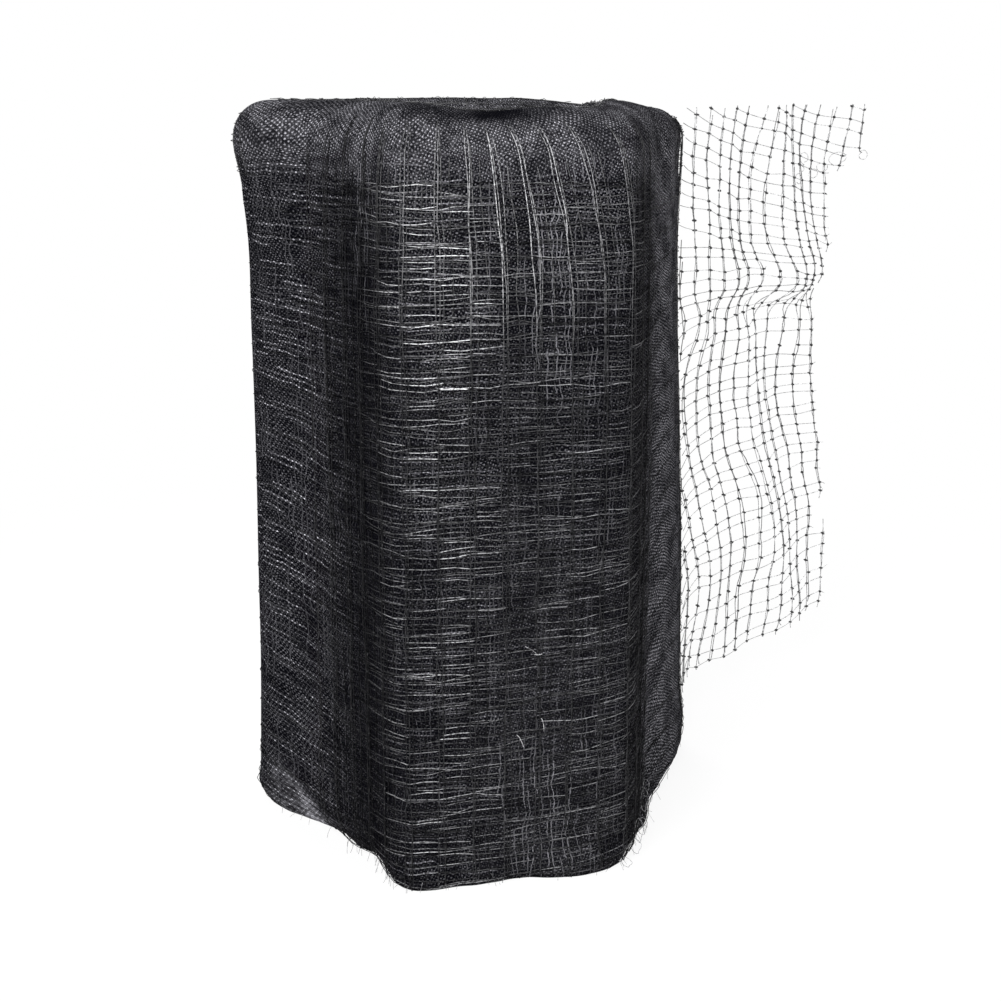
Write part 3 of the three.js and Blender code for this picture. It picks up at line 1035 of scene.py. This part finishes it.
frayForm = {
    "places": [  # bearing, spread, how many
        (-112, 6, 16), (-126, 8, 8), (-96, 10, 8), (-66, 14, 8), (-30, 8, 11), (-8, 20, 8), (-150, 16, 6),
        (90, 80, 40),
    ],
    "lift": (0.001, 0.008),
    "depth": 0.001,  # the fibres and loops start this far inside the roll
    "reach": (0.0015, 0.0045),
    "splay": 35,  # in degrees
    "curl": 0.9,
    "arch": 0.003,
    "end": 0.0007,  # height of a fibre's end
    "thick": 0.38,
    "shades": (0.05, 0.5),
    "loops": [  # bearing, height, half length out and up
        (-40, 0.008, 0.0036, 0.005), (-36, 0.014, 0.0030, 0.008), (-30, 0.010, 0.0028, 0.006),
        (-24, 0.022, 0.0022, 0.008), (-46, 0.004, 0.0040, 0.003), (-20, 0.026, 0.0018, 0.006),
    ],
    "loopSplay": 12,
    "loopDent": 0.15,
    "floorGap": 0.0008,
    "strays": [  # bearing, height, reach along and up
        (-73.5, 0.145, 0.0065, -0.005), (-71.2, 0.140, 0.0050, 0.000), (-76.0, 0.092, 0.0040, -0.008),
        (-69.0, 0.101, 0.0015, -0.008),
    ],
    "strayLift": (0.0012, 0.0004),  # in the middle and at the ends
    "strayBend": 1.6,
    "bold": 0.6,  # thickness of the loops and the stray fibres
    "loopShade": 0.45,
    "strayShade": 0.7,
    "wander": 0.0012,
}


def layFray():
    draw = np.random.default_rng(77)
    t = np.linspace(0, 1, 5)
    bow = np.sin(np.pi * t)
    lines = []
    for at, spread, count in frayForm["places"]:
        for bearing in draw.normal(at, spread, count):
            start = rollSkin(bearing, draw.uniform(*frayForm["lift"]), frayForm["depth"])
            heading = np.radians(bearing + draw.normal(0, frayForm["splay"]))
            out = np.array([math.cos(heading), math.sin(heading), 0])
            side = np.array([-out[1], out[0], 0])
            reach = draw.uniform(*frayForm["reach"])
            path = start + out * reach * t[:, None]
            path = path + side * reach * draw.normal(0, frayForm["curl"]) * t[:, None]**2
            path[:, 2] = start[2] * (1 - t) + frayForm["end"] + draw.uniform(0, frayForm["arch"]) * bow
            lines.append((path, False, frayForm["thick"], draw.uniform(*frayForm["shades"]), False))
    turn = np.linspace(0, 2 * np.pi, 13)
    for bearing, height, out, up in frayForm["loops"]:
        start = rollSkin(bearing, height, frayForm["depth"])
        reach = out * (1 - np.cos(turn)) * (1 + frayForm["loopDent"] * np.sin(3 * turn))
        heading = math.radians(bearing + draw.normal(0, frayForm["loopSplay"]))
        path = start + np.stack([reach * math.cos(heading), reach * math.sin(heading), up * np.sin(turn)], 1)
        path[:, 2] = np.maximum(path[:, 2], frayForm["floorGap"])
        lines.append((path, False, frayForm["bold"], frayForm["loopShade"], False))
    middle, ends = frayForm["strayLift"]
    for bearing, height, along, up in frayForm["strays"]:
        lengths = np.interp(bearing, ringBearings, ringLength[:-1]) + along * t
        path = rollSkin(bearingAt(lengths), height + up * t ** frayForm["strayBend"], -middle * bow - ends)
        lines.append((path, False, frayForm["bold"], frayForm["strayShade"], False))
    return lines


fray = growPiece(
    "frayed_ends", guideMesh(layFray()), strandsFromLines,
    **{"Strand Radius": turns["strandRadius"], "Wander": frayForm["wander"], "Seed": 5,
       "Material": rollMaterial},
)
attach(fray, "root")


# the loose end of net that hangs from the roll's right side, in two layers

tailForm = {
    "run": [  # across the axis, away from the front, height of the lower and of the upper edge
        (0.143, 0.096, 0.045, 0.438), (0.152, 0.130, 0.039, 0.438), (0.168, 0.164, 0.034, 0.438),
        (0.191, 0.197, 0.032, 0.437), (0.221, 0.228, 0.036, 0.437), (0.256, 0.257, 0.045, 0.437),
        (0.293, 0.283, 0.054, 0.436), (0.328, 0.306, 0.058, 0.436),
    ],
    "lineSteps": 24,
    "lookAhead": 0.004,  # its direction is read this far to either side
    "lineEnd": 0.005,  # the net stops this far before the end of its run
    "top": 0.4385,  # its strands stay under this height, and above the next
    "lowest": 0.0321,
    "rootBearing": 33,
    "rootGap": 0.0013,
    "drawIn": 0.45,
    "hold": 0.070,  # the net is held to the roll over this length
    "cut": [  # height, how far the net reaches from its root
        (0.030, 0.226), (0.064, 0.236), (0.110, 0.225), (0.190, 0.215), (0.245, 0.200), (0.290, 0.207),
        (0.335, 0.219), (0.370, 0.213), (0.390, 0.219), (0.398, 0.230), (0.417, 0.243), (0.438, 0.251),
    ],
    "columns": 19,
    "firstColumn": 0.1220,  # across the axis, and the gap between uprights there
    "columnGap": 0.0110,
    "rowGap": 0.0178,
    "rows": (0.530, 0.020),  # heights at the root, from the first row down
    "lowRows": (0.045, 0.16, 1.1),  # rows near this height follow the lower edge, less so this far above it
    "swayRange": (0.036, 0.438),
    "sway": [  # height, sideways sway of the uprights near the root, in the middle and near the cut
        (0.036, 0.009, 0.015, 0.014), (0.056, 0.013, 0.016, 0.015), (0.076, 0.017, 0.015, 0.014),
        (0.104, 0.019, 0.019, 0.012), (0.127, 0.015, 0.017, 0.011), (0.161, 0.006, 0.010, 0.002),
        (0.174, 0.003, 0.004, 0.001), (0.193, -0.003, -0.004, -0.003), (0.212, -0.006, -0.007, -0.008),
        (0.231, -0.008, -0.010, -0.011), (0.268, -0.006, -0.009, -0.011), (0.288, 0.003, -0.004, -0.008),
        (0.299, 0.003, 0.004, 0.000), (0.314, -0.001, 0.006, 0.002), (0.337, 0.000, -0.004, -0.005),
        (0.376, -0.003, -0.009, -0.011), (0.399, -0.005, -0.008, -0.012), (0.438, -0.002, -0.003, -0.008),
    ],
    "swayAt": (0.155, 0.200, 0.255),  # where across the axis the three columns of sway hold
    "droop": [  # height at the root, how much a row falls for each metre away from it
        (0.020, -0.01), (0.120, -0.05), (0.200, -0.03), (0.245, 0.00), (0.300, 0.03), (0.335, 0.10),
        (0.380, 0.17), (0.435, 0.20), (0.500, 0.21),
    ],
    "crease": {
        "height": 0.299, "slide": 0.007, "middle": 0.236, "half": 0.045, "above": 0.018, "below": 0.006,
        "rise": 0.006, "riseAt": 0.285, "riseSpread": 0.012,
    },
    "fold": {"height": 0.296, "depth": 0.009, "spread": 0.013, "start": 0.050, "full": 0.110},
    "ripple": {"depth": 0.005, "length": 0.088, "rise": 0.270, "start": 0.060, "full": 0.170},
    "layers": [  # offset, rows lower by, uprights aside by, how thick they are
        (0.0004, 0.000, 0.0000, 0.95), (-0.0004, 0.0075, 0.0010, 0.75),
    ],
    "crossThick": 0.62,
    "wavers": (0.0008, 0.0012, 0.0004),  # how far a knot strays across and up, and a strand between knots
    "jitters": (0.0003, 0.0005),
    "missing": 0.03,  # the share of the knots without a row
    "past": (0.003, 0.004),  # knots are kept this far past the cut edge, and below the lower edge
    "freeEnds": {  # past their last knots uprights run on in row gaps, and rows in metres
        "above": (0.3, 0.7), "below": (0.15, 0.45), "aside": 0.0015, "along": (0.001, 0.005), "drop": 0.001,
        "least": 0.004,
    },
    "uprights": {  # how pale, paler by how much below and up to which heights, thinner to thicker
        "shades": (0.2, 0.9), "low": (0.5, 0.12, 0.26), "vary": (0.8, 1.1),
    },
    "cross": {"shades": (0.4, 1.0), "vary": (0.75, 1.2)},
    "onRoll": (0.03, 0.05),  # dark up to this length, and rows that start under this one run on to the roll
    "strandRadius": 0.00036,
    "knotRadius": 0.00110,
    "stops": (0, 0.25, 0.5, 0.75),
    "between": (0.0, 0.7, 1.0, 0.7),
    "tangles": [  # across the axis, height, size of the small loops near the torn corner
        (0.247, 0.400, 0.006), (0.262, 0.393, 0.005), (0.273, 0.399, 0.007), (0.256, 0.388, 0.005),
        (0.238, 0.385, 0.006), (0.290, 0.401, 0.005), (0.243, 0.393, 0.004),
    ],
    "tangle": {"steps": 7, "turn": (5, 7.5), "grow": (0.7, 1.2), "flat": 0.7, "thick": 0.6, "shade": 0.6},
}


def tailRun():
    # the run as a dense line with its length, lower edge and upper edge
    steps = tailForm["lineSteps"]
    line = smoothThrough(np.array(tailForm["run"]), np.arange(steps) / steps, False)
    step = np.linalg.norm(np.diff(line[:, :2], axis=0), axis=1)
    return np.concatenate([[0], np.cumsum(step)]), line


tailLength, tailLine = tailRun()


def tailRoot(height):
    radius = wallRadius(tailForm["rootBearing"], np.minimum(height, wallTop))
    rise = np.clip((height - wallTop) / (rollForm["height"] - wallTop), 0, 0.999)
    radius = radius - tailForm["drawIn"] * rollForm["shoulderIn"] * (1 - np.sqrt(1 - rise**2))
    radius = radius + tailForm["rootGap"]
    angle = math.radians(tailForm["rootBearing"])
    return np.stack([radius * math.cos(angle), radius * math.sin(angle)], -1)


def tailPoint(along, height, offset):
    # a point of the hanging net at a distance along it, a height and a distance off its middle
    along = np.clip(np.asarray(along, float), 0, tailLength[-1] - tailForm["lineEnd"])
    look = tailForm["lookAhead"]
    run, behind, ahead = (
        np.stack([np.interp(along + step, tailLength, tailLine[:, k]) for k in (0, 1)], -1)
        for step in (0, -look, look)
    )
    way = ahead - behind
    way = way / np.linalg.norm(way, axis=-1, keepdims=True)
    outward = np.stack([way[..., 1], -way[..., 0]], -1)
    wave, fold = tailForm["ripple"], tailForm["fold"]
    push = smoothStep(along, wave["start"], wave["full"]) * wave["depth"]
    push = push * np.sin(2 * np.pi * (along / wave["length"] + height / wave["rise"]))
    pinch = np.exp(-(((height - fold["height"]) / fold["spread"]) ** 2))
    push = push - smoothStep(along, fold["start"], fold["full"]) * fold["depth"] * pinch
    start = tailLine[0, :2]
    held = (1 - smoothStep(along, 0, tailForm["hold"]))[..., None]
    flat = run + outward * (push + offset)[..., None] + (tailRoot(height) - start) * held
    return np.concatenate([flat, height[..., None]], -1) + np.array([axisX, axisY, 0])


def layTail(number, offset, lower, aside, uprightThick):
    draw = np.random.default_rng(900 + number)
    columns, rowGap, top = tailForm["columns"], tailForm["rowGap"], tailForm["top"]
    crossWaver, upWaver, strandWaver = tailForm["wavers"]
    crossJitter, upJitter = tailForm["jitters"]
    first, last = tailForm["rows"]
    rowStarts = np.arange(first - lower, last, -rowGap)
    j, i = np.meshgrid(np.arange(columns), np.arange(len(rowStarts)), indexing="ij")
    plain = tailForm["firstColumn"] + j * tailForm["columnGap"]
    root = rowStarts[i]
    along = np.interp(plain, tailLine[:, 0], tailLength)
    height = root - readTable(tailForm["droop"], 1, root) * along
    bottom = np.interp(along, tailLength, tailLine[:, 2])
    low, fade, most = tailForm["lowRows"]
    height = height + (bottom - low) * np.clip(1 - (root - low) / fade, 0, most)

    # the uprights sway, and slide together at the crease
    near = np.clip(height, *tailForm["swayRange"])
    left, middle, right = (readTable(tailForm["sway"], k, near) for k in (1, 2, 3))
    share = np.interp(plain, tailForm["swayAt"], (0, 1, 2))
    nearRoot, nearCut = left * (1 - share) + middle * share, middle * (2 - share) + right * (share - 1)
    sway = np.where(share < 1, nearRoot, nearCut)
    crease = tailForm["crease"]
    share = (1 + np.cos(np.pi * np.clip(np.abs(plain - crease["middle"]) / crease["half"], 0, 1))) / 2
    over = height - crease["height"]
    slide = np.exp(-np.abs(over) / np.where(over > 0, crease["above"], crease["below"]))
    across = plain + sway + crease["slide"] * share * slide
    across = across + aside * uneven(910 + number, j * 0.8, i * 0.5)
    across = across + crossWaver * uneven(920, j * 1.7, i * 0.8) + draw.normal(0, crossJitter, j.shape)
    moved = np.interp(across, tailLine[:, 0], tailLength)
    height = height + upWaver * uneven(930, j * 0.9, i * 1.3) + draw.normal(0, upJitter, j.shape)
    pinch = np.exp(-(((root - crease["riseAt"]) / crease["riseSpread"]) ** 2))
    height = height + share * crease["rise"] * pinch

    # what is left of the net inside its cut edges
    pastCut, pastBottom = tailForm["past"]
    kept = (moved <= readTable(tailForm["cut"], 1, near) + pastCut) & (height <= top)
    kept = kept & (height >= bottom - pastBottom) & (across > tailLine[0, 0])
    missing = draw.random(j.shape) < tailForm["missing"]
    ends, uprights, cross = tailForm["freeEnds"], tailForm["uprights"], tailForm["cross"]
    paler, palerLow, palerHigh = uprights["low"]
    darkLength, rollLength = tailForm["onRoll"]
    lines = []

    def addLine(a, z, thick, pale, knots):
        path = smoothThrough(np.stack([a, z], 1), tailForm["stops"], False)
        if knots:  # paler between its knots
            pale = pale * np.resize(tailForm["between"], len(path))
        path[:, 0] += strandWaver * uneven(940 + number + len(lines), path[:, 1] * 300)
        pale = pale * smoothStep(path[:, 0], 0.0, darkLength)  # dark where it lies against the roll
        flags = np.zeros(len(path), bool)
        if knots:
            flags[::len(tailForm["stops"])] = True
            flags[0] = flags[-1] = False
        points = tailPoint(path[:, 0], path[:, 1], np.full(len(path), offset))
        lines.append((points, False, thick, pale, flags))

    for column in range(columns):
        for run in runsOf(kept[column]):
            a, z = moved[column, run], height[column, run]
            above = min(top, z[0] + draw.uniform(*ends["above"]) * rowGap)
            below = z[-1] - draw.uniform(*ends["below"]) * rowGap
            slope = (a[0] - a[1]) / max(z[0] - z[1], ends["least"]) if len(run) > 1 else 0.0
            a = np.concatenate([[a[0] + slope * (above - z[0])], a, [a[-1] + draw.normal(0, ends["aside"])]])
            z = np.concatenate([[above], z, [max(below, tailForm["lowest"])]])
            shade = draw.uniform(*uprights["shades"])
            shade = shade + paler * (1 - smoothStep(z.mean(), palerLow, palerHigh))
            addLine(a, z, uprightThick * draw.uniform(*uprights["vary"]), shade, True)
    for row in range(len(rowStarts)):
        for run in runsOf(kept[:, row] & ~missing[:, row]):
            a, z = moved[run, row], height[run, row]
            if a[0] < rollLength:  # on to the roll at the same slope
                slope = (z[1] - z[0]) / (a[1] - a[0]) if len(run) > 1 else 0.0
                start = 0.0 if z[0] - slope * a[0] < top else a[0] + (top - z[0]) / slope
                z = np.concatenate([[z[0] + slope * (start - a[0])], z])
                a = np.concatenate([[start], a])
            a = np.append(a, a[-1] + draw.uniform(*ends["along"]))
            z = np.append(z, z[-1] + draw.normal(0, ends["drop"]))
            thick = tailForm["crossThick"] * draw.uniform(*cross["vary"])
            addLine(a, z, thick, draw.uniform(*cross["shades"]), False)
    if number == 0:
        tangle = tailForm["tangle"]
        steps = tangle["steps"]
        for place, level, size in tailForm["tangles"]:
            angle = draw.uniform(0, 6.3) + np.linspace(0, draw.uniform(*tangle["turn"]), steps)
            grow = size * np.linspace(*tangle["grow"], steps)
            a = np.interp(place, tailLine[:, 0], tailLength) + grow * np.cos(angle)
            addLine(a, level + tangle["flat"] * grow * np.sin(angle), tangle["thick"], tangle["shade"], False)
    return lines


tailLines = []
for number, layer in enumerate(tailForm["layers"]):
    tailLines += layTail(number, *layer)
tail = growPiece(
    "loose_net", guideMesh(tailLines), strandsFromLines,
    **{"Strand Radius": tailForm["strandRadius"], "Sides": 6, "Knot Radius": tailForm["knotRadius"],
       "Knot Low": (1.2, 1.0, 0.7), "Knot High": (2.0, 1.5, 1.0), "Tumble": (0.5, 0.5, 0.5),
       "Wander": 0.0004, "Seed": 31, "Material": tailMaterial},
)
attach(tail, "root")
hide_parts("net_tail")


# floor, background, lights and camera

studio = {
    "floorSize": 12.0,
    "floorTone": 0.86,
    "floorGlow": 0.90,
    "floorFade": (0.25, 0.9),  # the floor turns to plain white between these distances
    "ambient": 0.38,
    "middle": 0.22,  # height that the lamps point at
    "lamps": [  # name, place from there, size, power
        ("key", (-0.5, -1.5, 1.2), 0.9, 60.0),
        ("fill", (1.5, -1.2, 0.8), 1.2, 14.0),
        ("rear", (-0.4, 1.6, 1.1), 1.2, 26.0),
    ],
    "eye": (0.0190, -0.9975, 0.456),  # the camera and what it points at, from the foot of the roll's axis
    "target": (0.0190, -0.0475, 0.214),
    "lens": 59.34,
}


def seenRays(tree):
    # 1 for the rays that meet the plain white background
    path = addNode(tree, "ShaderNodeLightPath").outputs
    seen = nodeMath(tree, "MAXIMUM", path["Is Camera Ray"], path["Is Glossy Ray"])
    return nodeMath(tree, "MAXIMUM", seen, path["Is Transmission Ray"])


def makeFloor():
    half = studio["floorSize"] / 2
    mesh = bpy.data.meshes.new("studio_floor")
    corners = [(-half, -half, 0), (half, -half, 0), (half, half, 0), (-half, half, 0)]
    mesh.from_pydata(corners, [], [(0, 1, 2, 3)])
    material, tree, shader = newMaterial("studio floor", 1.0, 0.0)
    tone = studio["floorTone"]
    shader.inputs["Base Color"].default_value = (tone, tone, tone, 1)
    glow = addNode(tree, "ShaderNodeEmission", {"Strength": 1.0})
    place = addNode(tree, "ShaderNodeTexCoord").outputs["Object"]
    away = addNode(tree, "ShaderNodeVectorMath", {0: place}, operation="LENGTH").outputs["Value"]
    whiter = nodeRange(tree, away, *studio["floorFade"], studio["floorGlow"], 1.0)
    mix = addNode(tree, "ShaderNodeMixShader", {
        0: nodeMath(tree, "MULTIPLY", seenRays(tree), whiter),
        1: shader.outputs["BSDF"],
        2: glow.outputs["Emission"],
    })
    tree.links.new(mix.outputs["Shader"], tree.nodes["Material Output"].inputs["Surface"])
    mesh.materials.append(material)
    return addObject("studio_floor", mesh)


floor = makeFloor()


def makeWorld():
    world = bpy.data.worlds.new("studio")
    bpy.context.scene.world = world
    world.use_nodes = True
    tree = world.node_tree
    ambient = studio["ambient"]
    strength = nodeMath(tree, "MULTIPLY_ADD", seenRays(tree), 1.0 - ambient, ambient)
    background = tree.nodes["Background"]
    background.inputs["Color"].default_value = (1, 1, 1, 1)
    tree.links.new(strength, background.inputs["Strength"])


def placeAiming(name, data, place, heading):
    # a lamp or a camera, turned to look along its heading
    holder = addObject(name, data)
    holder.location = place
    holder.rotation_euler = heading.to_track_quat("-Z", "Y").to_euler()
    return holder


def makeLamps():
    middle = Vector((axisX, axisY, studio["middle"]))
    for name, place, size, power in studio["lamps"]:
        lamp = bpy.data.lights.new(name, "AREA")
        lamp.shape = "RECTANGLE"
        lamp.size = lamp.size_y = size
        lamp.energy = power
        spot = middle + Vector(place)
        placeAiming(name, lamp, spot, middle - spot)


def makeCamera():
    data = bpy.data.cameras.new("camera")
    data.lens = studio["lens"]
    data.sensor_width = 36
    spot, target = Vector(studio["eye"]), Vector(studio["target"])
    axis = Vector((axisX, axisY, 0))
    bpy.context.scene.camera = placeAiming("camera", data, spot + axis, target - spot)


makeWorld()
makeLamps()
makeCamera()
bpy.context.scene.view_settings.view_transform = "Standard"
print("floor, lamps and camera placed")
